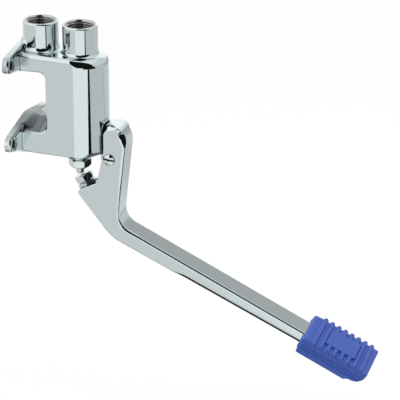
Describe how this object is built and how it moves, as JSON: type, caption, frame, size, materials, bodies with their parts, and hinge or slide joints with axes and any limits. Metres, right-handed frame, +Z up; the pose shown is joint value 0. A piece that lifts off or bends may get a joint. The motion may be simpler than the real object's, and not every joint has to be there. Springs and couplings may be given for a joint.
{
  "type": "foot pedal tap valve",
  "caption": "Wall-mounted foot pedal tap valve: a chromed body with threaded pipe sockets on top, and a long hinged lever that ends in a ribbed blue rubber pedal.",
  "frame": {"origin": "on the wall plane, at the centre of the rectangle of screw holes", "axes": "+X out of the wall towards the pedal, Y across the valve's plane of symmetry, +Z up towards the pipe sockets"},
  "size_m": [0.2663, 0.0884, 0.2519],
  "materials": {
    "chrome": "polished chrome plating",
    "brass": "turned",
    "bronze": "turned",
    "steel": "turned stainless steel",
    "black_rubber": "smooth",
    "blue_rubber": "moulded matt"
  },
  "bodies": {
    "valve": {"valve_body": "chrome", "valve_seat": "brass", "spindle_bush": "bronze", "bush_seal": "black_rubber", "spring_washer": "steel", "return_spring": "steel", "gland_nut": "chrome", "gland_washer": "bronze", "gland_seal": "black_rubber", "pivot_bush": "bronze"},
    "plunger": {"spindle": "steel", "seat_washer": "black_rubber", "disc_holder": "brass", "disc_nut": "brass", "spring_collar": "steel", "spindle_clip": "steel"},
    "pedal_lever": {"lever": "chrome", "pivot_pin": "chrome", "adjusting_screw": "chrome", "lock_nut": "steel", "lock_washer": "steel", "pedal_boot": "blue_rubber"}
  },
  "joints": [
    {"name": "pedal_press", "type": "hinge", "parent": "valve", "child": "pedal_lever", "pos_m": [0.0685, 0, -0.046], "axis": [0, 1, 0], "range_deg": [0, 5.5], "stiffness_Nm_per_rad": 20, "springref_deg": -5.73},
    {"name": "spindle_lift", "type": "slide", "parent": "valve", "child": "plunger", "axis": [0, 0, 1], "range_m": [0, 0.003], "deforming": ["return_spring"]}
  ],
  "couplings": [
    {"joint": "spindle_lift", "follows": "pedal_press", "m_per_rad": 0.0304}
  ]
}
